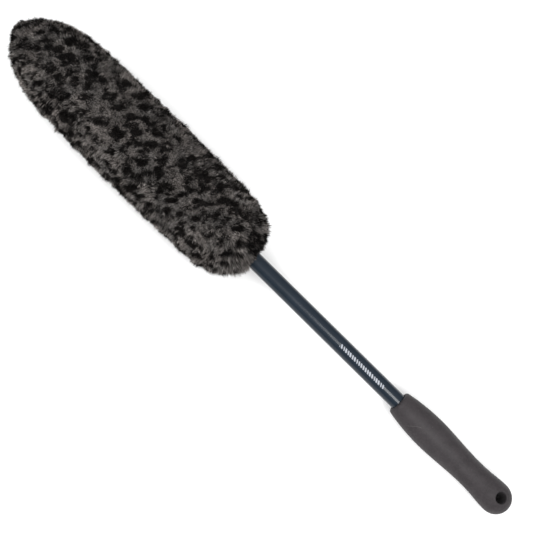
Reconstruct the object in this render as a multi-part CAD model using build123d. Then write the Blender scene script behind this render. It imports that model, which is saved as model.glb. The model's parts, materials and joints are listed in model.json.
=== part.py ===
from build123d import *
import math
import os

# A long plush wheel brush: a soft-pile head on a flexible spine, a metal shaft tube and a
# moulded grip with a hanging hole. Millimetres. Everything is drawn on the brush's own axis,
# with x = 0 at the rear end of the handle and +X towards the tip of the head, and the
# finished brush is then laid down on a level surface.

# Lengths along the brush
handle_length = 106.5
bare_tube_length = 138.7
head_length = 234.8

# Pile head: half an ellipse at each end and a slightly swollen barrel between them
head_end_radius = 32.5
head_swell = 1.1
head_base_length = 38.0
head_tip_length = 60.0
pile_length = 12.0
backing_thickness = 1.2

# Shaft tube
tube_diameter = 12.0
tube_wall = 1.0
plug_length = 8.0
plug_flange = 1.5

# Handle, as half widths at distances from its rear end or back from its mouth
end_radius = 11.6
waist_rear_at = 26.0
waist_rear_radius = 10.5
waist_front_at = 46.0
waist_front_radius = 10.4
swell_from_mouth = 31.5
swell_radius = 12.0
shoulder_from_mouth = 14.5
shoulder_radius = 11.1
mouth_radius = 9.15
mouth_rounding = 1.5
grip_wall = 2.2
core_from_mouth = 8.0
nose_wall = 0.4
nose_recess = 0.6
hole_radius = 4.0
hole_lining = 1.5
hole_rounding = 0.8
core_web = 15.9
handle_pin_from_tube_end = 25.5

# Neck: the collar that carries the spine and the cover
collar_setback = 4.8
collar_lip_length = 1.5
collar_land_length = 13.5
collar_body_length = 18.0
collar_end_wall = 3.0
collar_wall = 1.1
collar_step = 1.8
neck_pin_from_end = 10.0
pin_diameter = 3.0
pin_recess = 0.4
tape_width = 2.7
tape_thickness = 0.7
tie_gap = 0.6
tie_width = 4.5
tie_thickness = 1.3
tie_lock_width = 6.0
tie_lock_height = 4.5

# Spine and the foam round it
spine_diameter = 9.0
spine_in_tube = 45.0
spine_to_tip = 35.0
cap_wall = 2.7
cap_end_wall = 4.0
cap_length = 16.0
cap_rounding = 3.0

# Clearances, each on the radius
slide_clearance = 0.1
plug_clearance = 0.05
foam_clearance = 0.2
pile_clearance = 0.3

# Places along the brush that follow from the sizes
overall_length = handle_length + bare_tube_length + head_length
head_start = handle_length + bare_tube_length
head_base_centre = head_start + head_base_length
head_tip_centre = overall_length - head_tip_length
tube_radius = tube_diameter / 2
tube_bore = tube_radius - tube_wall
socket_end = end_radius + hole_radius + hole_lining + core_web
tube_start = socket_end + plug_flange
handle_pin_at = tube_start + handle_pin_from_tube_end
handle_pin_length = 2 * (waist_front_radius - grip_wall - pin_recess)
collar_land_radius = tube_radius + slide_clearance + collar_wall
collar_radius = collar_land_radius + collar_step
collar_start = head_start + collar_setback
land_start = collar_start + collar_lip_length
body_start = land_start + collar_land_length
collar_end = body_start + collar_body_length
tube_end = collar_end - collar_end_wall
tape_end = land_start + tape_width
tie_start = tape_end + tie_gap
hem_radius = collar_land_radius + backing_thickness
spine_radius = spine_diameter / 2
spine_end = overall_length - spine_to_tip
cap_end = spine_end + cap_end_wall
cap_start = cap_end - cap_length
cap_radius = spine_radius + cap_wall
nose_radius = tube_radius + slide_clearance + nose_wall


def rod(start, end, radius):
    """A round bar on the brush's axis."""
    bar = Cylinder(radius, end - start, align=(Align.CENTER, Align.CENTER, Align.MIN))
    return Pos(start, 0, 0) * Rot(0, 90, 0) * bar


def cross_pin(at, length):
    """A round bar across the brush, from side to side."""
    return Pos(at, 0, 0) * Rot(90, 0, 0) * Cylinder(pin_diameter / 2, length)


def turned(edges):
    """The solid swept by a half outline that closes on the brush's axis."""
    return revolve(Face(Wire(edges)), Axis.X)


def head_body(inset):
    """The head's shape, drawn in by inset all round: 0 is the tips of the pile."""
    radius = head_end_radius - inset
    middle = (head_base_centre + head_tip_centre) / 2
    base_top = (head_base_centre, radius)
    tip_top = (head_tip_centre, radius)
    rear = (head_start + inset, 0)
    front = (overall_length - inset, 0)
    base = EllipticalCenterArc((head_base_centre, 0), head_base_length - inset, radius, 90, arc_size=90)
    barrel = ThreePointArc(base_top, (middle, radius + head_swell), tip_top)
    tip = EllipticalCenterArc((head_tip_centre, 0), head_tip_length - inset, radius, 0, arc_size=90)
    return turned([base, barrel, tip, Line(front, rear)])


def handle_body(inset):
    """The handle's shape, drawn in by inset all round: round ended and waisted."""
    mouth_start = handle_length - mouth_rounding
    stations = [
        (end_radius, end_radius - inset),
        (waist_rear_at, waist_rear_radius - inset),
        (waist_front_at, waist_front_radius - inset),
        (handle_length - swell_from_mouth, swell_radius - inset),
        (handle_length - shoulder_from_mouth, shoulder_radius - inset),
        (mouth_start, mouth_radius - inset),
    ]
    taper = (1, -0.2)
    dome = CenterArc((end_radius, 0), end_radius - inset, 90, 90)
    side = Spline(*stations, tangents=[(1, 0), taper])
    lip_end = (handle_length, nose_radius)
    if inset:
        mouth = Line(stations[-1], (mouth_start, 0))
        edges = [dome, side, mouth, Line((mouth_start, 0), (inset, 0))]
    else:
        lip = Spline(stations[-1], lip_end, tangents=[taper, (0, -1)])
        face = Line(lip_end, (handle_length, 0))
        edges = [dome, side, lip, face, Line((handle_length, 0), (0, 0))]
    return turned(edges)


def hang_hole(radius):
    """The bar that cuts the hanging hole, upright through the round end."""
    return Pos(end_radius, 0, 0) * Cylinder(radius, 4 * end_radius)


def core_blank():
    """The handle core before it is bored: a body with a thin nose at the mouth."""
    front = handle_length - core_from_mouth
    body = handle_body(grip_wall) & rod(0, front, 2 * swell_radius)
    nose = rod(front - core_from_mouth, handle_length - nose_recess, nose_radius)
    return body + nose - hang_hole(hole_radius + hole_lining)


def handle_core():
    """Rigid core: a socket for the tube, the pin's seat and a solid end round the hole."""
    socket = rod(socket_end, handle_length, tube_radius + slide_clearance)
    return core_blank() - socket - cross_pin(handle_pin_at, handle_pin_length)


def handle_grip():
    """Soft grip moulded over the core, lining the hanging hole."""
    drilled = handle_body(0) - hang_hole(hole_radius)
    rims = [edge for edge in drilled.edges() if is_hole_rim(edge)]
    mouth = rod(handle_length - mouth_rounding, handle_length + mouth_rounding, nose_radius)
    return fillet(rims, hole_rounding) - core_blank() - mouth


def is_hole_rim(edge):
    """True for the edges where the hanging hole meets the outside."""
    centre = edge.bounding_box().center()
    away = math.hypot(centre.X - end_radius, centre.Y)
    return away < hole_radius and abs(centre.Z) > end_radius / 2


def shaft_tube():
    """Thin-walled tube with a hole through each end for its cross pin."""
    tube = rod(tube_start, tube_end, tube_radius) - rod(tube_start, tube_end, tube_bore)
    tube -= cross_pin(handle_pin_at, handle_pin_length)
    return tube - cross_pin(collar_end - neck_pin_from_end, 2 * collar_radius)


def tube_plug():
    """Stopper that closes the tube's rear end inside the handle."""
    flange = rod(socket_end, tube_start, tube_radius)
    return flange + rod(tube_start, tube_start + plug_length, tube_bore - plug_clearance)


def neck_pin():
    """Pin through the collar, the tube and the spine."""
    return cross_pin(collar_end - neck_pin_from_end, 2 * (collar_radius - pin_recess))


def neck_collar():
    """Collar on the tube's end: a waist for the cover's hem and a wall round the spine."""
    lip = rod(collar_start, land_start, collar_radius)
    land = rod(land_start, body_start, collar_land_radius)
    body = rod(body_start, collar_end, collar_radius)
    bore = rod(collar_start, tube_end, tube_radius + slide_clearance)
    spine_hole = rod(tube_end, collar_end, spine_radius + slide_clearance)
    return lip + land + body - bore - spine_hole - neck_pin()


def flexible_spine():
    """Solid plastic rod that lets the head bend: a thicker shank fills the tube."""
    shank = rod(tube_end - spine_in_tube, tube_end, tube_bore - plug_clearance)
    return shank + rod(tube_end, spine_end, spine_radius) - neck_pin()


def spine_cap():
    """Soft cap over the spine's end."""
    blank = rod(cap_start, cap_end, cap_radius)
    front = blank.edges().sort_by(Axis.X)[-1]
    return fillet(front, cap_rounding) - rod(cap_start, spine_end, spine_radius)


def foam_blank():
    """All the foam in one, hollowed for the collar and for the spine with its cap."""
    foam = head_body(pile_length + backing_thickness)
    foam -= rod(collar_start, collar_end, collar_land_radius)
    foam -= rod(body_start, collar_end, collar_radius)
    return foam - rod(collar_end, cap_start, spine_radius + foam_clearance)


def foam_sleeve():
    """Foam round the spine, from the neck to the spine's cap."""
    return foam_blank() & rod(head_start, cap_start, 2 * head_end_radius)


def foam_nose():
    """Domed foam pad over the spine's cap."""
    front = foam_blank() & rod(cap_start, overall_length, 2 * head_end_radius)
    pocket = rod(cap_start, cap_end + foam_clearance, cap_radius + foam_clearance)
    return front - pocket


def backing_blank(growth):
    """What the backing encloses, neck included, grown all round."""
    return head_body(pile_length - growth) + rod(land_start, body_start, hem_radius + growth)


def hem_tape():
    """Tape sewn over the raw edge of the cover's hem."""
    band = rod(land_start, tape_end, hem_radius + tape_thickness)
    inside = rod(land_start, land_start + tape_thickness, collar_land_radius)
    return band - inside - rod(land_start + tape_thickness, tape_end, hem_radius)


def knit_backing():
    """Knitted ground of the cover: a sock over the foam with a narrow neck."""
    sock = backing_blank(0) - head_body(pile_length + backing_thickness)
    sock -= rod(land_start, body_start, collar_land_radius)
    sock -= rod(body_start, collar_end, collar_radius)
    return sock - rod(head_start, land_start + tape_thickness, 2 * hem_radius)


def neck_tie():
    """Strap that clamps the hem to the collar, with its lock block on one side."""
    tie_end = tie_start + tie_width
    strap_radius = hem_radius + tie_thickness
    strap = rod(tie_start, tie_end, strap_radius)
    lock = Box(tie_width, tie_lock_width, tie_lock_height + tie_thickness)
    lock = Pos(tie_start + tie_width / 2, 0, hem_radius + lock.bounding_box().size.Z / 2) * lock
    return strap + lock - rod(tie_start, tie_end, hem_radius)


def pile_cover():
    """The pile as one soft solid, out to the tips of its fibres."""
    pile = head_body(0) - backing_blank(pile_clearance) - hem_tape() - neck_tie()
    pile -= rod(collar_start, land_start + tape_thickness, collar_radius)
    return pile - rod(head_start, collar_start, tube_radius + pile_clearance)


def resting_tilt():
    """Degrees that the axis rises towards the tip when the brush lies on a level surface.

    It stands on the head's elliptical base and on the handle's round end, so the surface
    is their common tangent.
    """
    tilt = 0.0
    for _ in range(20):
        head = math.hypot(head_base_length * math.sin(tilt), head_end_radius * math.cos(tilt))
        tilt = math.asin((head - end_radius) / (head_base_centre - end_radius))
    return math.degrees(tilt)


pieces = {
    "handle_grip": handle_grip(),
    "handle_core": handle_core(),
    "handle_pin": cross_pin(handle_pin_at, handle_pin_length),
    "tube_plug": tube_plug(),
    "shaft_tube": shaft_tube(),
    "neck_collar": neck_collar(),
    "neck_pin": neck_pin(),
    "neck_tie": neck_tie(),
    "hem_tape": hem_tape(),
    "knit_backing": knit_backing(),
    "pile_cover": pile_cover(),
    "foam_sleeve": foam_sleeve(),
    "foam_nose": foam_nose(),
    "spine_cap": spine_cap(),
    "flexible_spine": flexible_spine(),
}

# The origin is on the surface, under the middle of the brush.
tilted = Rot(0, -resting_tilt(), 0)
ends = [tilted * pieces["handle_grip"], tilted * pieces["pile_cover"]]
boxes = [piece.bounding_box() for piece in ends]
low_x = min(box.min.X for box in boxes)
high_x = max(box.max.X for box in boxes)
low_z = min(box.min.Z for box in boxes)
laid_down = Pos(-(low_x + high_x) / 2, 0, -low_z) * tilted

os.makedirs("parts", exist_ok=True)
for name, piece in pieces.items():
    export_step(laid_down * piece, f"parts/{name}.step")
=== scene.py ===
import json
import math

import bpy
import numpy as np
from mathutils import Matrix, Vector
from mathutils.kdtree import KDTree

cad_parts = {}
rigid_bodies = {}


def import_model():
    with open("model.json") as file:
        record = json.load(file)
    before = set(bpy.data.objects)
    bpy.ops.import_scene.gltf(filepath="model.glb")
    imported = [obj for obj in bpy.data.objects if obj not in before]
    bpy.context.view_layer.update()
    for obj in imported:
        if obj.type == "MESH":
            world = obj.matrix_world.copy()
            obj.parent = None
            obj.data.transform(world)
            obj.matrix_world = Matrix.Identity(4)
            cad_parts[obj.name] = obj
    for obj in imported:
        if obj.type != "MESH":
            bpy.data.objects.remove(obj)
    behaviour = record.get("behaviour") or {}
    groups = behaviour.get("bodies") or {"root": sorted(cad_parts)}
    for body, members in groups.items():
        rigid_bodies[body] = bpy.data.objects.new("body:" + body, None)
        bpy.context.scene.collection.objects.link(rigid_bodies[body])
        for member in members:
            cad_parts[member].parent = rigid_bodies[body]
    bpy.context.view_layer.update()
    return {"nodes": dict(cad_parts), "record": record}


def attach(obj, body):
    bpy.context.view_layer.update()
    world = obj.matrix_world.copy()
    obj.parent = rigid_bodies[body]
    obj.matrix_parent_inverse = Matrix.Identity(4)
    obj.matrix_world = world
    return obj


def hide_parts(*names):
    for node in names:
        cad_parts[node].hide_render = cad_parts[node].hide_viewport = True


for leftover in list(bpy.data.objects):
    bpy.data.objects.remove(leftover)
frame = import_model()

# The brush lies tilted on its head and its handle's end. Its own axis comes
# from the hanging hole, which runs square through the handle.
hang_hole = frame["record"]["mounts"][0]
hole_centre = Vector(hang_hole["pos_m"])
upright = Vector(hang_hole["axis"]).normalized()
sideways = Vector((0.0, 1.0, 0.0))
forward = sideways.cross(upright).normalized()


def corners_of(node):
    """A CAD node's vertices, in metres."""
    mesh = frame["nodes"][node].data
    flat = np.empty(len(mesh.vertices) * 3, dtype=np.float32)
    mesh.vertices.foreach_get("co", flat)
    return flat.reshape(-1, 3).astype(float)


grip_reach = corners_of("handle_grip") @ np.array(forward)
rear_end = hole_centre + forward * (grip_reach.min() - hole_centre.dot(forward))


def along_and_out(points):
    """Distance from the rear end, and from the brush's axis, of each point."""
    from_rear = points - np.array(rear_end)
    along = from_rear @ np.array(forward)
    outward = from_rear - along[:, None] * np.array(forward)
    return along, np.linalg.norm(outward, axis=1)


# Shaft tube: drawn aluminium with a baked blue-grey satin coat. The coat has
# faint draw lines along the tube, fine dust in it, and rubbed spots that
# shine a little more. A silver mark of plain bars is printed near the grip.
def new_group(name, inputs, outputs):
    """An empty node group with its sockets, and its two ends."""
    group = bpy.data.node_groups.new(name, "ShaderNodeTree")
    for label, kind, default in inputs:
        socket = group.interface.new_socket(label, in_out="INPUT", socket_type="NodeSocket" + kind)
        if default is not None:
            socket.default_value = default
    for label, kind in outputs:
        group.interface.new_socket(label, in_out="OUTPUT", socket_type="NodeSocket" + kind)
    return group, group.nodes.new("NodeGroupInput"), group.nodes.new("NodeGroupOutput")


def node(tree, kind, settings=None, **inputs):
    """Adds a node. Each input is a value or another node's output."""
    made = tree.nodes.new("ShaderNode" + kind)
    for key, value in (settings or {}).items():
        setattr(made, key, value)
    for key, value in inputs.items():
        name = key.replace("_", " ")
        numbered = name[0] == "i" and name[1:].isdigit()
        socket = made.inputs[int(name[1:]) if numbered else name]
        if isinstance(value, bpy.types.NodeSocket):
            tree.links.new(value, socket)
        else:
            socket.default_value = value
    return made


def maths(tree, operation, *values):
    """One step of arithmetic, as a socket."""
    made = node(tree, "Math", {"operation": operation},
                **{f"i{place}": value for place, value in enumerate(values)})
    return made.outputs[0]


def vector_maths(tree, operation, *values):
    """One step of vector arithmetic, as its node."""
    return node(tree, "VectorMath", {"operation": operation},
                **{f"i{place}": value for place, value in enumerate(values)})


def noise(tree, place, scale, detail=2.0, rough=0.5, stretch=None):
    """Noise of one feature every 1/scale metres, as a socket from 0 to 1."""
    if stretch is not None:
        place = vector_maths(tree, "MULTIPLY", place, stretch).outputs[0]
    return node(tree, "TexNoise", Vector=place, Scale=scale, Detail=detail, Roughness=rough).outputs["Fac"]


def steps(tree, value, low, high, to_low=0.0, to_high=1.0, smooth=True):
    """value from low to high, turned into to_low to to_high and held there."""
    kind = "SMOOTHSTEP" if smooth else "LINEAR"
    made = node(tree, "MapRange", {"interpolation_type": kind}, Value=value, From_Min=low, From_Max=high,
                To_Min=to_low, To_Max=to_high)
    return made.outputs["Result"]


def blend_colour(tree, factor, first, second):
    """Two colours mixed, as a socket."""
    made = tree.nodes.new("ShaderNodeMix")
    made.data_type = "RGBA"
    for place, value in ((0, factor), (6, first), (7, second)):
        if isinstance(value, bpy.types.NodeSocket):
            tree.links.new(value, made.inputs[place])
        else:
            made.inputs[place].default_value = value
    return made.outputs[2]


brush_lines, _, lines_out = new_group(
    "brush lines", [], [("Along", "Float"), ("Side", "Float"), ("Turn", "Float"), ("Place", "Vector")])
in_room = node(brush_lines, "TexCoord").outputs["Object"]
from_rear = vector_maths(brush_lines, "SUBTRACT", in_room, tuple(rear_end)).outputs[0]
along, side, up = (vector_maths(brush_lines, "DOT_PRODUCT", from_rear, tuple(direction)).outputs["Value"]
                   for direction in (forward, sideways, upright))
turn = maths(brush_lines, "ARCTAN2", side, up)
own_place = node(brush_lines, "CombineXYZ", X=along, Y=side, Z=up).outputs[0]
for label, value in (("Along", along), ("Side", side), ("Turn", turn), ("Place", own_place)):
    brush_lines.links.new(value, lines_out.inputs[label])


def use_group(tree, group, **inputs):
    """Adds a node group to a material."""
    made = tree.nodes.new("ShaderNodeGroup")
    made.node_tree = group
    for key, value in inputs.items():
        socket = made.inputs[key.replace("_", " ")]
        if isinstance(value, bpy.types.NodeSocket):
            tree.links.new(value, socket)
        else:
            socket.default_value = value
    return made


def new_material(name, colour, roughness, metallic=0.0, **extra):
    """A material with its shader, and the brush's own lines to draw along."""
    material = bpy.data.materials.new(name)
    material.use_nodes = True
    tree = material.node_tree
    shader = tree.nodes["Principled BSDF"]
    shader.inputs["Base Color"].default_value = (*colour, 1.0)
    shader.inputs["Roughness"].default_value = roughness
    shader.inputs["Metallic"].default_value = metallic
    for key, value in extra.items():
        shader.inputs[key.replace("_", " ")].default_value = value
    return material, tree, shader, use_group(tree, brush_lines)


def raise_surface(tree, shader, height, depth):
    """Bump of that depth in metres, from a height of 0 to 1."""
    bump = node(tree, "Bump", Height=height, Distance=depth, Strength=1.0)
    tree.links.new(bump.outputs["Normal"], shader.inputs["Normal"])


def cover(material, *nodes_of_cad):
    """Gives a material to whole CAD nodes."""
    for name in nodes_of_cad:
        for place in frame["nodes"][name].material_slots:
            place.material = material


tube_coat, tree, shader, lines = new_material("tube coat", (0.007, 0.013, 0.021), 0.2, Specular_IOR_Level=0.25)
place = lines.outputs["Place"]
draw_lines = noise(tree, place, 2600, 3.0, 0.6, stretch=(0.03, 1.0, 1.0))
clouds = noise(tree, place, 90, 4.0)
rubbed = steps(tree, noise(tree, place, 420, 5.0, 0.7, stretch=(0.5, 1.0, 1.0)), 0.60, 0.75)
dust = steps(tree, node(tree, "TexVoronoi", {"feature": "F1"}, Vector=place, Scale=900).outputs["Distance"],
             0.05, 0.11, 1.0, 0.0)
coat = blend_colour(tree, steps(tree, clouds, 0.3, 0.7), (0.0062, 0.0120, 0.0195, 1), (0.0085, 0.0150, 0.0240, 1))
coat = blend_colour(tree, maths(tree, "MULTIPLY", draw_lines, 0.20), coat, (0.014, 0.021, 0.032, 1))
coat = blend_colour(tree, maths(tree, "MULTIPLY", dust, 0.06), coat, (0.15, 0.16, 0.18, 1))
mark_start, mark_end = 0.1215, 0.1637
mark_height = 0.0027
mark_edge = 0.0001
bar_pitch = 0.0021
bar_slant = 0.55
tube_radius = along_and_out(corners_of("shaft_tube"))[1].max()
mark_turn = math.radians(15)
along_mark = maths(tree, "SUBTRACT", lines.outputs["Along"], mark_start)
up_mark = maths(tree, "MULTIPLY", maths(tree, "SUBTRACT", lines.outputs["Turn"], mark_turn), tube_radius)
slanted = maths(tree, "ADD", along_mark, maths(tree, "MULTIPLY", up_mark, bar_slant))
in_bar = maths(tree, "FRACT", maths(tree, "DIVIDE", slanted, bar_pitch))
bar_number = maths(tree, "FLOOR", maths(tree, "DIVIDE", slanted, bar_pitch))
bar_kind = node(tree, "TexWhiteNoise", {"noise_dimensions": "1D"}, W=bar_number).outputs["Value"]
bar_share = maths(tree, "ADD", 0.42, maths(tree, "MULTIPLY", bar_kind, 0.30))
is_bar = maths(tree, "MULTIPLY", steps(tree, in_bar, 0.08, 0.14),
               maths(tree, "SUBTRACT", 1.0, steps(tree, maths(tree, "SUBTRACT", in_bar, bar_share), 0.0, 0.06)))
across_mark = maths(tree, "ABSOLUTE", up_mark)
mark_length = mark_end - mark_start
in_height = steps(tree, across_mark, mark_height / 2 - mark_edge, mark_height / 2, 1.0, 0.0)
is_bar = maths(tree, "MULTIPLY", is_bar, in_height)
is_bar = maths(tree, "MULTIPLY", is_bar, steps(tree, along_mark, 0.0, mark_edge))
before_end = steps(tree, along_mark, mark_length - mark_edge, mark_length, 1.0, 0.0)
is_bar = maths(tree, "MULTIPLY", is_bar, before_end)
ink_wear = steps(tree, noise(tree, place, 2400, 4.0, 0.7), 0.30, 0.42, 0.55, 1.0)
ink = maths(tree, "MULTIPLY", is_bar, ink_wear)
coat = blend_colour(tree, ink, coat, (0.31, 0.33, 0.37, 1))
tree.links.new(coat, shader.inputs["Base Color"])
rough = maths(tree, "ADD", maths(tree, "MULTIPLY", draw_lines, 0.10), 0.16)
rough = maths(tree, "SUBTRACT", rough, maths(tree, "MULTIPLY", rubbed, 0.04))
tree.links.new(maths(tree, "ADD", rough, maths(tree, "MULTIPLY", ink, 0.12)), shader.inputs["Roughness"])
height = maths(tree, "ADD", maths(tree, "MULTIPLY", draw_lines, 0.15), maths(tree, "MULTIPLY", dust, 0.3))
raise_surface(tree, shader, maths(tree, "ADD", height, ink), 0.00001)
cover(tube_coat, "shaft_tube")

# Grip: soft dark grey rubber moulded over the core. It has the mould's fine
# sand-blasted grain, faint flow marks, dust that clings to it, and palms
# have polished its swell and waist a little.
grain, grain_in, grain_out = new_group(
    "moulded grain", [("Place", "Vector", None), ("Grain Size", "Float", 0.0004)],
    [("Height", "Float"), ("Clouds", "Float"), ("Flecks", "Float")])
per_metre = maths(grain, "DIVIDE", 1.0, grain_in.outputs["Grain Size"])
coarse_scale = maths(grain, "MULTIPLY", per_metre, 0.05)
fine = node(grain, "TexNoise", Vector=grain_in.outputs["Place"], Scale=per_metre, Detail=3.0, Roughness=0.6)
pits = node(grain, "TexVoronoi", {"feature": "SMOOTH_F1"}, Vector=grain_in.outputs["Place"],
            Scale=maths(grain, "MULTIPLY", per_metre, 0.8))
grain.links.new(maths(grain, "ADD", maths(grain, "MULTIPLY", fine.outputs["Fac"], 0.6),
                      maths(grain, "MULTIPLY", pits.outputs["Distance"], 0.5)), grain_out.inputs["Height"])
cloud = node(grain, "TexNoise", Vector=grain_in.outputs["Place"], Scale=coarse_scale, Detail=4.0, Roughness=0.55)
grain.links.new(steps(grain, cloud.outputs["Fac"], 0.32, 0.68), grain_out.inputs["Clouds"])
fleck = node(grain, "TexVoronoi", {"feature": "F1"}, Vector=grain_in.outputs["Place"],
             Scale=maths(grain, "MULTIPLY", per_metre, 0.2))
fleck_mask = steps(grain, fleck.outputs["Distance"], 0.04, 0.09, 1.0, 0.0)
some = steps(grain, node(grain, "SeparateColor", Color=fleck.outputs["Color"]).outputs[0], 0.80, 0.82)
grain.links.new(maths(grain, "MULTIPLY", fleck_mask, some), grain_out.inputs["Flecks"])

grip_rubber, tree, shader, lines = new_material("grip rubber", (0.085, 0.078, 0.083), 0.62,
                                                Specular_IOR_Level=0.25, Sheen_Weight=0.03, Sheen_Roughness=0.5)
shader.inputs["Sheen Tint"].default_value = (0.7, 0.68, 0.7, 1)
place = lines.outputs["Place"]
skin = use_group(tree, grain, Place=place, Grain_Size=0.00042)
colour = blend_colour(tree, skin.outputs["Clouds"], (0.0205, 0.0174, 0.0190, 1), (0.0281, 0.0240, 0.0260, 1))
flow = noise(tree, place, 60, 5.0, 0.6, stretch=(0.35, 1.0, 1.0))
colour = blend_colour(tree, steps(tree, flow, 0.35, 0.70, 0.0, 0.35), colour, (0.0332, 0.0284, 0.0307, 1))
bloom = noise(tree, place, 620, 4.0, 0.65)
colour = blend_colour(tree, steps(tree, bloom, 0.40, 0.66, 0.0, 0.55), colour, (0.0367, 0.0314, 0.0340, 1))
colour = blend_colour(tree, maths(tree, "MULTIPLY", skin.outputs["Flecks"], 0.7), colour, (0.17, 0.155, 0.155, 1))
scuff_turn = math.radians(35)
scuff_along = 0.0885
scuff_slope = 85
from_scuff = maths(tree, "SUBTRACT", lines.outputs["Along"], scuff_along)
bow = maths(tree, "MULTIPLY", maths(tree, "POWER", maths(tree, "MULTIPLY", from_scuff, 260), 2.0), 0.10)
scuff_line = maths(tree, "ADD", bow, maths(tree, "MULTIPLY", from_scuff, scuff_slope))
round_scuff = maths(tree, "SUBTRACT", lines.outputs["Turn"], scuff_turn)
off_scuff = maths(tree, "ABSOLUTE", maths(tree, "SUBTRACT", round_scuff, scuff_line))
in_scuff = steps(tree, maths(tree, "ABSOLUTE", from_scuff), 0.0030, 0.0048, 1.0, 0.0)
scuff = maths(tree, "MULTIPLY", steps(tree, off_scuff, 0.008, 0.022, 1.0, 0.0), in_scuff)
colour = blend_colour(tree, maths(tree, "MULTIPLY", scuff, 0.55), colour, (0.115, 0.105, 0.108, 1))
hole_along = (hole_centre - rear_end).dot(forward)
past_hole = maths(tree, "SUBTRACT", lines.outputs["Along"], hole_along)
from_hole = node(tree, "CombineXYZ", X=past_hole, Y=lines.outputs["Side"]).outputs[0]
to_hole = vector_maths(tree, "LENGTH", from_hole).outputs["Value"]
hole_radius = hang_hole["dims"]["r_mm"] / 1000
# Painted shade: the grip is darkened in a ring round the hanging hole's mouth.
painted_hole_shade = steps(tree, to_hole, hole_radius, hole_radius * 1.35, 1.0, 0.0)
colour = blend_colour(tree, maths(tree, "MULTIPLY", painted_hole_shade, 0.45), colour, (0.022, 0.020, 0.021, 1))
tree.links.new(colour, shader.inputs["Base Color"])
polish = steps(tree, noise(tree, place, 45, 3.0, stretch=(0.6, 1.0, 1.0)), 0.42, 0.66)
rough = maths(tree, "SUBTRACT", 0.66, maths(tree, "MULTIPLY", polish, 0.12))
tree.links.new(maths(tree, "ADD", rough, maths(tree, "MULTIPLY", skin.outputs["Height"], 0.06)),
               shader.inputs["Roughness"])
raise_surface(tree, shader, maths(tree, "SUBTRACT", skin.outputs["Height"], scuff), 0.00012)
cover(grip_rubber, "handle_grip")

# Core and rear plug: black glass-filled plastic, injection moulded. Only the
# core's nose shows, as a dark ring round the tube at the grip's mouth.
def moulded_plastic(name, dark, light, roughness, grain_size, depth, **extra):
    """A moulded plastic or rubber, with its grain, clouding and dust."""
    material, tree, shader, lines = new_material(name, light, roughness, **extra)
    skin = use_group(tree, grain, Place=lines.outputs["Place"], Grain_Size=grain_size)
    colour = blend_colour(tree, skin.outputs["Clouds"], (*dark, 1), (*light, 1))
    dusty = tuple(min(1.0, part * 2.5 + 0.03) for part in light)
    colour = blend_colour(tree, maths(tree, "MULTIPLY", skin.outputs["Flecks"], 0.3), colour, (*dusty, 1))
    tree.links.new(colour, shader.inputs["Base Color"])
    wobble = maths(tree, "MULTIPLY", maths(tree, "SUBTRACT", skin.outputs["Clouds"], 0.5), 0.14)
    tree.links.new(maths(tree, "ADD", wobble, roughness), shader.inputs["Roughness"])
    raise_surface(tree, shader, skin.outputs["Height"], depth)
    return material


cover(moulded_plastic("core plastic", (0.010, 0.010, 0.011), (0.016, 0.016, 0.017), 0.55, 0.0005, 0.00005),
      "handle_core", "tube_plug")

# Cross pins: bright steel dowels, ground, so they carry fine rings and a few
# pressing marks.
pin_steel, tree, shader, lines = new_material("pin steel", (0.55, 0.55, 0.56), 0.28, 1.0)
place = lines.outputs["Place"]
rings = noise(tree, place, 5200, 3.0, 0.6, stretch=(1.0, 0.04, 1.0))
marks = steps(tree, noise(tree, place, 900, 4.0, 0.65), 0.58, 0.72)
steel = blend_colour(tree, rings, (0.46, 0.46, 0.47, 1), (0.62, 0.62, 0.63, 1))
tree.links.new(blend_colour(tree, maths(tree, "MULTIPLY", marks, 0.4), steel, (0.30, 0.29, 0.28, 1)),
               shader.inputs["Base Color"])
tree.links.new(maths(tree, "ADD", maths(tree, "MULTIPLY", rings, 0.18), 0.20), shader.inputs["Roughness"])
raise_surface(tree, shader, maths(tree, "SUBTRACT", rings, marks), 0.00001)
cover(pin_steel, "handle_pin", "neck_pin")

# Neck collar and spine cap: the collar is black moulded plastic pinned to the
# tube. The cap is soft black rubber pushed on the spine's end.
cover(moulded_plastic("collar plastic", (0.018, 0.018, 0.019), (0.028, 0.028, 0.029), 0.5, 0.0006, 0.00005),
      "neck_collar")
cover(moulded_plastic("cap rubber", (0.014, 0.014, 0.015), (0.024, 0.023, 0.024), 0.72, 0.0004, 0.00007),
      "spine_cap")

# Neck tie: a black nylon strap that clamps the cloth's hem, with moulded
# teeth across it.
neck_tie, tree, shader, lines = new_material("tie nylon", (0.03, 0.03, 0.03), 0.45)
skin = use_group(tree, grain, Place=lines.outputs["Place"], Grain_Size=0.0005)
tooth_pitch = math.radians(7.5)
tooth = maths(tree, "FRACT", maths(tree, "DIVIDE", lines.outputs["Turn"], tooth_pitch))
tree.links.new(blend_colour(tree, skin.outputs["Clouds"], (0.020, 0.020, 0.020, 1), (0.034, 0.034, 0.034, 1)),
               shader.inputs["Base Color"])
tree.links.new(maths(tree, "ADD", maths(tree, "MULTIPLY", skin.outputs["Height"], 0.2), 0.36),
               shader.inputs["Roughness"])
raise_surface(tree, shader, maths(tree, "ADD", tooth, maths(tree, "MULTIPLY", skin.outputs["Height"], 0.2)), 0.0002)
cover(neck_tie, "neck_tie")

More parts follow.
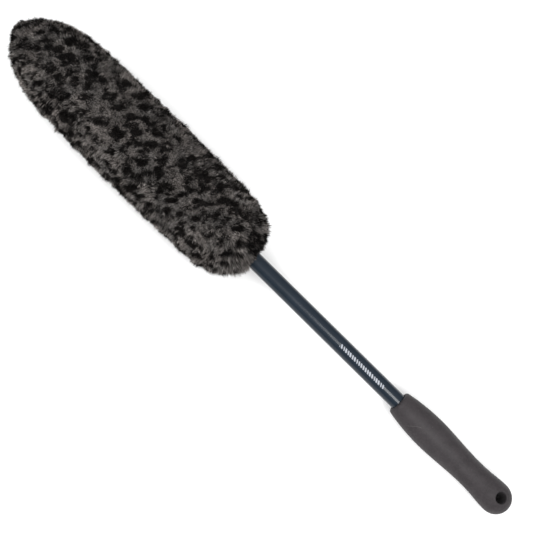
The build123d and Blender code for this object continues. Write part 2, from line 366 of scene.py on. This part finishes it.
# Spine: a natural nylon rod, extruded, so it has long draw lines and looks
# slightly milky.
spine_nylon, tree, shader, lines = new_material("spine nylon", (0.62, 0.60, 0.55), 0.4, Subsurface_Weight=0.15,
                                                Subsurface_Scale=0.002)
place = lines.outputs["Place"]
streaks = noise(tree, place, 1500, 4.0, 0.6, stretch=(0.02, 1.0, 1.0))
milk = noise(tree, place, 130, 3.0)
nylon = blend_colour(tree, streaks, (0.55, 0.53, 0.48, 1), (0.68, 0.66, 0.61, 1))
tree.links.new(blend_colour(tree, maths(tree, "MULTIPLY", milk, 0.5), nylon, (0.60, 0.57, 0.50, 1)),
               shader.inputs["Base Color"])
tree.links.new(maths(tree, "ADD", maths(tree, "MULTIPLY", streaks, 0.25), 0.28), shader.inputs["Roughness"])
raise_surface(tree, shader, streaks, 0.00003)
cover(spine_nylon, "flexible_spine")

# Foam round the spine and in the tip: open-cell charcoal foam, cut and
# turned. Its cells are about half a millimetre across and stand open, with
# their hollows painted dark as painted shade.
foam, tree, shader, lines = new_material("foam", (0.10, 0.10, 0.105), 0.9, Sheen_Weight=0.2)
place = lines.outputs["Place"]
cells = node(tree, "TexVoronoi", {"feature": "DISTANCE_TO_EDGE"}, Vector=place, Scale=1800).outputs["Distance"]
pores = steps(tree, cells, 0.02, 0.16, 1.0, 0.0)
cut = noise(tree, place, 160, 4.0)
# Painted shade: the cells' hollows are darker than the cell walls.
pore_shaded_foam = blend_colour(tree, pores, (0.035, 0.035, 0.037, 1), (0.13, 0.13, 0.135, 1))
tree.links.new(blend_colour(tree, maths(tree, "MULTIPLY", cut, 0.35), pore_shaded_foam, (0.16, 0.155, 0.15, 1)),
               shader.inputs["Base Color"])
tree.links.new(maths(tree, "SUBTRACT", 0.98, maths(tree, "MULTIPLY", pores, 0.12)), shader.inputs["Roughness"])
raise_surface(tree, shader, pores, 0.0003)
cover(foam, "foam_sleeve", "foam_nose")

# Knit ground and hem tape: the pile grows from a warp-knitted polyester
# ground. A woven tape is sewn over its raw edge at the neck.
cloth, cloth_in, cloth_out = new_group(
    "cloth threads", [("Along", "Float", 0.0), ("Turn", "Float", 0.0), ("Radius", "Float", 0.02),
                      ("Thread", "Float", 0.0008), ("Slant", "Float", 0.0)],
    [("Height", "Float"), ("Crossing", "Float")])
wide = maths(cloth, "MULTIPLY", cloth_in.outputs["Turn"], cloth_in.outputs["Radius"])
wales = maths(cloth, "ADD", cloth_in.outputs["Along"], maths(cloth, "MULTIPLY", wide, cloth_in.outputs["Slant"]))
full_turn = 2 * math.pi
warp, weft = (
    maths(cloth, "SINE", maths(cloth, "MULTIPLY", maths(cloth, "DIVIDE", way, cloth_in.outputs["Thread"]), full_turn))
    for way in (wales, wide))
crossing = maths(cloth, "MULTIPLY", warp, weft)
cloth.links.new(maths(cloth, "ADD", 0.5, maths(cloth, "MULTIPLY", crossing, 0.5)), cloth_out.inputs["Crossing"])
cloth.links.new(maths(cloth, "MAXIMUM", maths(cloth, "ABSOLUTE", warp), maths(cloth, "ABSOLUTE", weft)),
                cloth_out.inputs["Height"])


def thread_cloth(name, dark, light, radius, thread, slant, depth):
    """A knitted or woven cloth, with its threads and a little fuzz."""
    material, tree, shader, lines = new_material(name, light, 0.85, Sheen_Weight=0.25)
    threads = use_group(tree, cloth, Along=lines.outputs["Along"], Turn=lines.outputs["Turn"], Radius=radius,
                        Thread=thread, Slant=slant)
    fuzz = noise(tree, lines.outputs["Place"], 2200, 4.0, 0.7)
    colour = blend_colour(tree, threads.outputs["Crossing"], (*dark, 1), (*light, 1))
    tree.links.new(blend_colour(tree, maths(tree, "MULTIPLY", fuzz, 0.5), colour, (*light, 1)),
                   shader.inputs["Base Color"])
    tree.links.new(maths(tree, "ADD", maths(tree, "MULTIPLY", fuzz, 0.2), 0.75), shader.inputs["Roughness"])
    height = maths(tree, "ADD", threads.outputs["Height"], maths(tree, "MULTIPLY", fuzz, 0.3))
    raise_surface(tree, shader, height, depth)
    return material


ground_radius = along_and_out(corners_of("knit_backing"))[1].max()
tape_radius = along_and_out(corners_of("hem_tape"))[1].max()
cover(thread_cloth("knit ground", (0.045, 0.043, 0.042), (0.10, 0.096, 0.093), ground_radius, 0.0011, 0.5, 0.0002),
      "knit_backing")
cover(thread_cloth("hem tape", (0.014, 0.014, 0.015), (0.034, 0.034, 0.036), tape_radius, 0.0006, 0.0, 0.00015),
      "hem_tape")

# Pile: grey polyester plush with black-dyed patches on its tips, knitted into
# the ground. The tips' outside is the shape that the CAD gives. Under the
# loose tips the pile is a dense mass, which is one closed mesh.
pile_along, pile_out = along_and_out(corners_of("pile_cover"))


def upper_hull(along, out):
    """The outline of a round bulging piece, from one end to the other."""
    order = np.lexsort((out, along))
    hull = []
    for point in zip(along[order], out[order]):
        while len(hull) > 1:
            (ax, ay), (bx, by) = hull[-2], hull[-1]
            if (bx - ax) * (point[1] - ay) - (by - ay) * (point[0] - ax) < 0:
                break
            hull.pop()
        hull.append(point)
    return np.array(hull)


hull = upper_hull(pile_along, pile_out)
hull_length = np.concatenate([[0.0], np.cumsum(np.linalg.norm(np.diff(hull, axis=0), axis=1))])
line_along = np.linspace(0.0, hull_length[-1], 600)
outline = np.stack([np.interp(line_along, hull_length, hull[:, i]) for i in (0, 1)], 1)
slope = np.gradient(outline, axis=0)
window = 31
smooth = np.hanning(window) / np.hanning(window).sum()
slope = np.stack([np.convolve(np.pad(slope[:, i], window // 2, mode="edge"), smooth, mode="valid") for i in (0, 1)], 1)
slope /= np.linalg.norm(slope, axis=1)[:, None]
outward_of = np.stack([-slope[:, 1], slope[:, 0]], 1)
rear_np, forward_np = np.array(rear_end), np.array(forward)
side_np, up_np = np.array(sideways), np.array(upright)


def on_brush(along, out, turn):
    """Points in the room, from places along, out from and round the brush."""
    spoke = np.cos(turn)[:, None] * up_np + np.sin(turn)[:, None] * side_np
    return rear_np + along[:, None] * forward_np + out[:, None] * spoke


def waves(points, size, seed, count=28):
    """Smooth random field of about -1 to 1, with lumps of that size."""
    picker = np.random.default_rng(seed)
    ways = picker.normal(size=(count, 3))
    ways *= (2 * math.pi / size / np.linalg.norm(ways, axis=1) * picker.uniform(0.6, 1.4, count))[:, None]
    return np.cos(points @ ways.T + picker.uniform(0, 2 * math.pi, count)).sum(1) * math.sqrt(2 / count) * 0.6


def lumps(points):
    """How far the pile's tips stand out in soft lumps, in metres."""
    return 0.0015 * waves(points, 0.0065, 14)


def surface_points(places, turns):
    """Tip surface at those places along the outline: point, outward, along."""
    at = np.stack([np.interp(places, line_along, outline[:, i]) for i in (0, 1)], 1)
    out_way = np.stack([np.interp(places, line_along, outward_of[:, i]) for i in (0, 1)], 1)
    spoke = np.cos(turns)[:, None] * up_np + np.sin(turns)[:, None] * side_np
    point = on_brush(at[:, 0], at[:, 1], turns)
    outward = out_way[:, :1] * forward_np + out_way[:, 1:] * spoke
    lengthwise = out_way[:, 1:] * forward_np - out_way[:, :1] * spoke
    return point, outward, lengthwise


def pile_piece(name, mesh, material):
    """Puts a mesh of the pile on the brush, with its material."""
    mesh.materials.append(material)
    mesh.polygons.foreach_set("use_smooth", np.ones(len(mesh.polygons), dtype=bool))
    made = bpy.data.objects.new(name, mesh)
    bpy.context.scene.collection.objects.link(made)
    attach(made, "root")
    return made


# The pile's colour: each grey fibre is painted darker towards its root, as
# painted shade deep in the pile. In a dyed spot its tip is black. The spots
# have soft ragged edges, run together here and there, and are drawn out a
# little on the slant.
streak_angle = math.radians(58)
streak_way = forward * math.cos(streak_angle) + sideways * math.sin(streak_angle)
pile_dye_and_shade, dye_shade_in, dye_shade_out = new_group(
    "pile dye and shade", [("Tip", "Vector", None), ("Reach", "Float", 0.5), ("Shade", "Float", 0.5)],
    [("Colour", "Color"), ("Fibre", "Float")])
tip_place = dye_shade_in.outputs["Tip"]
fibre_shade = dye_shade_in.outputs["Shade"]
from_rear = vector_maths(pile_dye_and_shade, "SUBTRACT", tip_place, tuple(rear_end)).outputs[0]
on_streak = vector_maths(pile_dye_and_shade, "DOT_PRODUCT", from_rear, tuple(streak_way)).outputs["Value"]
back_along = vector_maths(pile_dye_and_shade, "SCALE", tuple(streak_way))
pile_dye_and_shade.links.new(maths(pile_dye_and_shade, "MULTIPLY", on_streak, 0.36), back_along.inputs["Scale"])
dye_place = vector_maths(pile_dye_and_shade, "SUBTRACT", from_rear, back_along.outputs[0]).outputs[0]
ragged = noise(pile_dye_and_shade, dye_place, 262, 2.0, 0.50)
spot = node(pile_dye_and_shade, "TexVoronoi", {"feature": "SMOOTH_F1"}, Vector=dye_place, Scale=170,
            Smoothness=0.35).outputs["Distance"]
in_spot = maths(pile_dye_and_shade, "SUBTRACT", 0.395, maths(pile_dye_and_shade, "MULTIPLY", spot, 0.42))
blotch = maths(pile_dye_and_shade, "ADD", maths(pile_dye_and_shade, "MULTIPLY", ragged, 0.62), in_spot)
spread = noise(pile_dye_and_shade, from_rear, 34, 2.0)
for uneven, weight in ((spread, 0.26), (fibre_shade, 0.12)):
    about_middle = maths(pile_dye_and_shade, "SUBTRACT", uneven, 0.5)
    blotch = maths(pile_dye_and_shade, "ADD", blotch, maths(pile_dye_and_shade, "MULTIPLY", about_middle, weight))
pale_tuft = rear_end + forward * 0.251 + sideways * 0.012 + upright * 0.010
to_pale = vector_maths(pile_dye_and_shade, "DISTANCE", tip_place, tuple(pale_tuft)).outputs["Value"]
blotch = maths(pile_dye_and_shade, "SUBTRACT", blotch, steps(pile_dye_and_shade, to_pale, 0.004, 0.012, 0.13, 0.0))
patch = steps(pile_dye_and_shade, blotch, 0.436, 0.530)
warm = noise(pile_dye_and_shade, from_rear, 75, 3.0)
grey = blend_colour(pile_dye_and_shade, steps(pile_dye_and_shade, warm, 0.35, 0.65), (0.137, 0.128, 0.122, 1), (0.172, 0.155, 0.145, 1))
fibre_light = steps(pile_dye_and_shade, fibre_shade, 0.0, 1.0, 0.15, 1.85, smooth=False)
grain_light = steps(pile_dye_and_shade, noise(pile_dye_and_shade, tip_place, 820, 2.0, 0.6), 0.36, 0.64, 0.42, 1.70)
fibre_light = maths(pile_dye_and_shade, "MULTIPLY", fibre_light, grain_light)
grey = vector_maths(pile_dye_and_shade, "SCALE", grey)
pile_dye_and_shade.links.new(fibre_light, grey.inputs["Scale"])
# Painted shade: grey fibres are darkened towards their roots, as shade deep in the pile, and lighter at their tips.
painted_depth_shade = steps(pile_dye_and_shade, dye_shade_in.outputs["Reach"], 0.15, 1.0, 0.30, 1.25, smooth=False)
depth_shaded_grey = vector_maths(pile_dye_and_shade, "SCALE", grey.outputs[0])
pile_dye_and_shade.links.new(painted_depth_shade, depth_shaded_grey.inputs["Scale"])
dyed = maths(pile_dye_and_shade, "MULTIPLY", patch, steps(pile_dye_and_shade, dye_shade_in.outputs["Reach"], 0.05, 0.40))
black_tip = vector_maths(pile_dye_and_shade, "SCALE", (0.0044, 0.0037, 0.0034))
pile_dye_and_shade.links.new(fibre_light, black_tip.inputs["Scale"])
pile_dye_and_shade.links.new(blend_colour(pile_dye_and_shade, dyed, depth_shaded_grey.outputs[0], black_tip.outputs[0]),
                   dye_shade_out.inputs["Colour"])
fibre_grain = noise(pile_dye_and_shade, tip_place, 3500, 3.0, 0.7)
pile_dye_and_shade.links.new(fibre_grain, dye_shade_out.inputs["Fibre"])


def named_value(tree, name, output):
    """A value stored on the piece's own corners."""
    made = tree.nodes.new("ShaderNodeAttribute")
    made.attribute_type = "GEOMETRY"
    made.attribute_name = name
    return made.outputs[output]


def pile_material(name, on_fibres):
    """Plush fibres, or the dense pile below them."""
    material = bpy.data.materials.new(name)
    material.use_nodes = True
    tree = material.node_tree
    shader = tree.nodes["Principled BSDF"]
    shader.inputs["Sheen Weight"].default_value = 0.02
    shader.inputs["Sheen Roughness"].default_value = 0.4
    shader.inputs["Specular IOR Level"].default_value = 0.02
    if on_fibres:
        tip = named_value(tree, "tip_place", "Vector")
        reach, shade = named_value(tree, "reach", "Fac"), named_value(tree, "shade", "Fac")
    else:
        tip = node(tree, "TexCoord").outputs["Object"]
        # The dense pile is coloured like a fibre part way up, so it carries the painted depth shade.
        reach, shade = 0.36, noise(tree, tip, 2600, 3.0, 0.7)
    # The group's colour holds both the dye and the painted depth shade.
    dye = use_group(tree, pile_dye_and_shade, Tip=tip, Reach=reach, Shade=shade)
    tree.links.new(dye.outputs["Colour"], shader.inputs["Base Color"])
    tree.links.new(steps(tree, dye.outputs["Fibre"], 0.2, 0.8, 0.62, 0.82), shader.inputs["Roughness"])
    raise_surface(tree, shader, dye.outputs["Fibre"], 0.00002 if on_fibres else 0.0006)
    return material


# The dense pile below the loose tips: one closed mesh of rings from the neck
# to the tip, lumpy like the tips above it. It stands for the CAD's pile.
mass_depth = 0.0031
ring_count, round_count = 330, 260
ring_places = np.repeat(np.linspace(0.0, line_along[-1], ring_count), round_count)
ring_turns = np.tile(np.linspace(0, 2 * math.pi, round_count, endpoint=False), ring_count)
mass_point, mass_outward, _ = surface_points(ring_places, ring_turns)
sunk = mass_depth - lumps(mass_point) + 0.0003 * waves(mass_point, 0.0025, 4)
mass_point = mass_point - mass_outward * sunk[:, None]
mass_faces = []
for ring in range(ring_count - 1):
    for place in range(round_count):
        after = (place + 1) % round_count
        mass_faces.append((ring * round_count + place, ring * round_count + after,
                           (ring + 1) * round_count + after, (ring + 1) * round_count + place))
mass_faces.append(tuple(range(round_count - 1, -1, -1)))
mass_faces.append(tuple((ring_count - 1) * round_count + place for place in range(round_count)))
mass_mesh = bpy.data.meshes.new("pile_mass")
mass_mesh.from_pydata(mass_point, [], mass_faces)
pile_mass = pile_piece("pile_mass", mass_mesh, pile_material("pile below", False))
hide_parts("pile_cover")

# The fibres themselves: flat tapered strips that stand out of the dense pile
# and bend over in tufts, as brushed plush does. At the neck they splay back.
fibre_material = pile_material("pile fibres", True)
chance = np.random.default_rng(20)
per_ring = outline[:, 1] + 0.0035
share = np.cumsum(per_ring) / per_ring.sum()
neck_reach = 0.034
tuft_count = 16000
tuft_places = np.interp(chance.random(tuft_count), share, line_along)
tuft_turns = chance.uniform(0, 2 * math.pi, tuft_count)


def grown(places, turns):
    """Where fibres at those places start, and where a middling one ends."""
    point, outward, lengthwise = surface_points(places, turns)
    roundwise = np.cross(outward, lengthwise)
    heading = 1.9 + 1.5 * waves(point, 0.030, 11) + 0.7 * waves(point, 0.010, 12)
    neck = np.clip(1 - places / neck_reach, 0, 1)
    lean = 0.0015 + 0.0005 * waves(point, 0.012, 13) + 0.0016 * neck
    lean_way = np.cos(heading)[:, None] * lengthwise + np.sin(heading)[:, None] * roundwise
    lean_way = lean_way * (1 - 0.6 * neck)[:, None] - lengthwise * (0.5 * neck)[:, None]
    return point, outward, lean_way * lean[:, None], neck


tuft_point, tuft_outward, tuft_lean, _ = grown(tuft_places, tuft_turns)
tuft_lift = 0.0006 * chance.normal(size=tuft_count) + lumps(tuft_point)
tuft_tip = tuft_point + tuft_outward * tuft_lift[:, None] + tuft_lean
tuft_shade = chance.normal(size=tuft_count)
tuft_tree = KDTree(tuft_count)
for number, point in enumerate(tuft_point):
    tuft_tree.insert(point, number)
tuft_tree.balance()

fibre_depth = 0.0066
fibre_steps = np.array([0.0, 0.42, 0.76, 1.0])
fibre_taper = np.array([1.0, 0.92, 0.62])
strip_quads, strip_end = np.array([(0, 1, 3, 2), (2, 3, 5, 4)]), np.array([4, 5, 6])
step_of_corner = np.array([0, 0, 1, 1, 2, 2, 3])
side_of_corner = np.array([-1, 1, -1, 1, -1, 1, 0])
strip_corners = len(step_of_corner)
clear_of_tube = tube_radius + 0.00025
clear_of_floor = 0.0002
neck_belly, neck_mouth = 0.026, 0.006
belly_fill, mouth_draw = 0.0017, 0.0024
pale_tuft_stands, pale_tuft_size = 0.0056, 0.009


def grow_fibres(name, first, last, count, width, longer, seed):
    """One piece of loose fibres, between two shares of the outline."""
    picker = np.random.default_rng(seed)
    places = np.interp(first + (last - first) * picker.random(count), share, line_along)
    turns = picker.uniform(0, 2 * math.pi, count)
    point, outward, lean, neck = grown(places, turns)
    nearest = np.array([tuft_tree.find(place)[1] for place in point])
    start = point - outward * fibre_depth
    own_length = picker.normal(size=count) * (0.00036 + 0.0006 * neck) + longer - 0.0010
    out_here = np.interp(places, line_along, outline[:, 1])
    blunt = belly_fill * np.exp(-((out_here - neck_belly) / 0.007) ** 2)
    blunt -= mouth_draw * np.exp(-((out_here - neck_mouth) / 0.006) ** 2)
    own_length += blunt * np.clip(neck * 4, 0, 1)
    from_pale = np.linalg.norm(point - np.array(pale_tuft), axis=1)
    own_length += pale_tuft_stands * np.exp(-(from_pale / pale_tuft_size) ** 2)
    own_tip = point + outward * (own_length + lumps(point))[:, None] + lean
    own_tip += picker.normal(size=(count, 3)) * 0.0006
    together = (0.36 + 0.1 * neck + 0.12 * picker.normal(size=count)).clip(0, 0.8)[:, None]
    tip = own_tip * (1 - together) + (tuft_tip[nearest] + outward * own_length[:, None]) * together

    middle = start + outward * (fibre_depth * 0.72) + lean * 0.18
    rows = np.stack([(1 - reach) ** 2 * start + 2 * reach * (1 - reach) * middle + reach ** 2 * tip
                     for reach in fibre_steps], 1)
    running = np.gradient(rows, axis=1)
    across = np.cross(running, outward[:, None, :])
    across /= np.linalg.norm(across, axis=2, keepdims=True) + 1e-9
    running /= np.linalg.norm(running, axis=2, keepdims=True) + 1e-9
    roll = picker.normal(size=count)[:, None, None] * 0.8
    across = across * np.cos(roll) + np.cross(running, across) * np.sin(roll)
    half = (width * picker.uniform(0.75, 1.3, count))[:, None, None] / 2
    half_across = across[:, :3] * half * fibre_taper[None, :, None]
    corners = np.empty((count, strip_corners, 3))
    corners[:, 0:6:2] = rows[:, :3] - half_across
    corners[:, 1:6:2] = rows[:, :3] + half_across
    corners[:, 6] = rows[:, 3]
    corners = corners.reshape(-1, 3)
    from_axis = corners - rear_np
    spoke = from_axis - (from_axis @ forward_np)[:, None] * forward_np
    out = np.linalg.norm(spoke, axis=1)
    corners += spoke / out[:, None] * np.maximum(clear_of_tube - out, 0)[:, None]
    corners[:, 2] = np.maximum(corners[:, 2], clear_of_floor)

    first_corner = np.arange(count)[:, None] * strip_corners
    quads = (first_corner[:, :, None] + strip_quads[None]).reshape(-1, 4)
    ends = first_corner + strip_end[None]
    loops = np.concatenate([quads.ravel(), ends.ravel()]).astype(np.int32)
    starts = np.concatenate([np.arange(len(quads)) * 4, len(quads) * 4 + np.arange(count) * 3]).astype(np.int32)
    mesh = bpy.data.meshes.new(name)
    mesh.vertices.add(len(corners))
    mesh.vertices.foreach_set("co", corners.astype(np.float32).ravel())
    mesh.loops.add(len(loops))
    mesh.loops.foreach_set("vertex_index", loops)
    mesh.polygons.add(len(starts))
    mesh.polygons.foreach_set("loop_start", starts)
    mesh.update(calc_edges=True)

    reach = np.tile(fibre_steps[step_of_corner], count)
    shade = (0.5 + 0.20 * picker.normal(size=count) + 0.08 * tuft_shade[nearest]).clip(0, 1)
    for label, kind, key, values in (("tip_place", "FLOAT_VECTOR", "vector", np.repeat(tip, strip_corners, axis=0)),
                                     ("reach", "FLOAT", "value", reach),
                                     ("shade", "FLOAT", "value", np.repeat(shade, strip_corners))):
        mesh.attributes.new(label, kind, "POINT").data.foreach_set(key, values.astype(np.float32).ravel())
    columns = math.ceil(math.sqrt(count))
    number = np.repeat(np.arange(count), strip_corners)
    aside = np.tile(side_of_corner, count)
    unwrapped = np.stack([(number % columns + 0.5 + 0.3 * aside) / columns,
                          (number // columns + 0.1 + 0.8 * reach) / columns], 1)
    flat_map = mesh.uv_layers.new(name="OFBake")
    flat_map.data.foreach_set("uv", unwrapped[loops].astype(np.float32).ravel())
    return pile_piece(name, mesh, fibre_material)


fibre_pieces, strips_each, strip_width = 4, 39000, 0.00030
for part in range(fibre_pieces):
    grow_fibres(f"pile_fibres_{part + 1}", part / fibre_pieces, (part + 1) / fibre_pieces,
                strips_each, strip_width, 0.0, 50 + part)
grow_fibres("pile_stray_fibres", 0.0, 1.0, 8000, 0.00014, 0.0002, 60)

# Floor, camera and light: pale paper, a soft lamp over the handle, a second one
# past the head, and soft light from all round, brighter from above.
bpy.ops.mesh.primitive_plane_add(size=40.0)
floor = bpy.context.object
floor.name = "floor"
floor_paper, tree, shader, lines = new_material("floor paper", (0.91, 0.91, 0.91), 0.9, Specular_IOR_Level=0.1)
paper_grain = noise(tree, lines.outputs["Place"], 900, 4.0)
tree.links.new(blend_colour(tree, paper_grain, (0.90, 0.90, 0.90, 1), (0.925, 0.925, 0.925, 1)),
               shader.inputs["Base Color"])
floor.data.materials.append(floor_paper)

eye_turn = math.radians(15)
towards_eye = (upright * math.cos(eye_turn) + sideways * math.sin(eye_turn)).normalized()
to_rear = -forward
image_side = to_rear.cross(towards_eye).normalized()
view_turn = math.atan2(0.69814, 0.71596) + math.radians(0.3)
right_share, up_share = math.cos(view_turn), math.sin(view_turn)
eye_right = to_rear * right_share - image_side * up_share
eye_up = -to_rear * up_share - image_side * right_share
look_at = rear_end + forward * 0.2382 - image_side * 0.0028
eye_distance = 0.684
view_width = 0.0006977 * 533
camera = bpy.data.objects.new("camera", bpy.data.cameras.new("camera"))
camera.data.sensor_width = 36.0
camera.data.lens = camera.data.sensor_width * eye_distance / view_width
camera.data.clip_start, camera.data.clip_end = 0.01, 20
camera.matrix_world = Matrix.Translation(look_at + towards_eye * eye_distance) @ Matrix(
    (eye_right, eye_up, towards_eye)).transposed().to_4x4()
bpy.context.scene.collection.objects.link(camera)
bpy.context.scene.camera = camera


def lamp(name, place, aim, wide, high, watts, lengthwise):
    """A soft rectangular lamp that points at aim, its width along the brush."""
    light = bpy.data.lights.new(name, "AREA")
    light.shape = "RECTANGLE"
    light.size, light.size_y, light.energy = wide, high, watts
    made = bpy.data.objects.new(name, light)
    back = (place - aim).normalized()
    wide_way = (lengthwise - back * lengthwise.dot(back)).normalized()
    turned = Matrix((wide_way, back.cross(wide_way), back)).transposed().to_4x4()
    made.matrix_world = Matrix.Translation(place) @ turned
    bpy.context.scene.collection.objects.link(made)


handle_lamp = rear_end - forward * 0.27 + towards_eye * 1.5
lamp("lamp over the handle", handle_lamp, rear_end + forward * 0.05, 0.55, 0.80, 19, forward)
head_lamp = rear_end + forward * 1.0 + towards_eye * 1.3 + sideways * 0.2
lamp("lamp past the head", head_lamp, rear_end + forward * 0.38, 0.9, 0.9, 10, forward)
world = bpy.data.worlds.new("soft room")
world.use_nodes = True
sky = world.node_tree
height = node(sky, "SeparateXYZ", Vector=node(sky, "TexCoord").outputs["Generated"]).outputs["Z"]
sky.links.new(steps(sky, height, 0.1, 1.0, 0.42, 0.92), sky.nodes["Background"].inputs["Strength"])
sky.nodes["Background"].inputs["Color"].default_value = (1, 1, 1, 1)
bpy.context.scene.world = world
bpy.context.scene.view_settings.view_transform = "Standard"
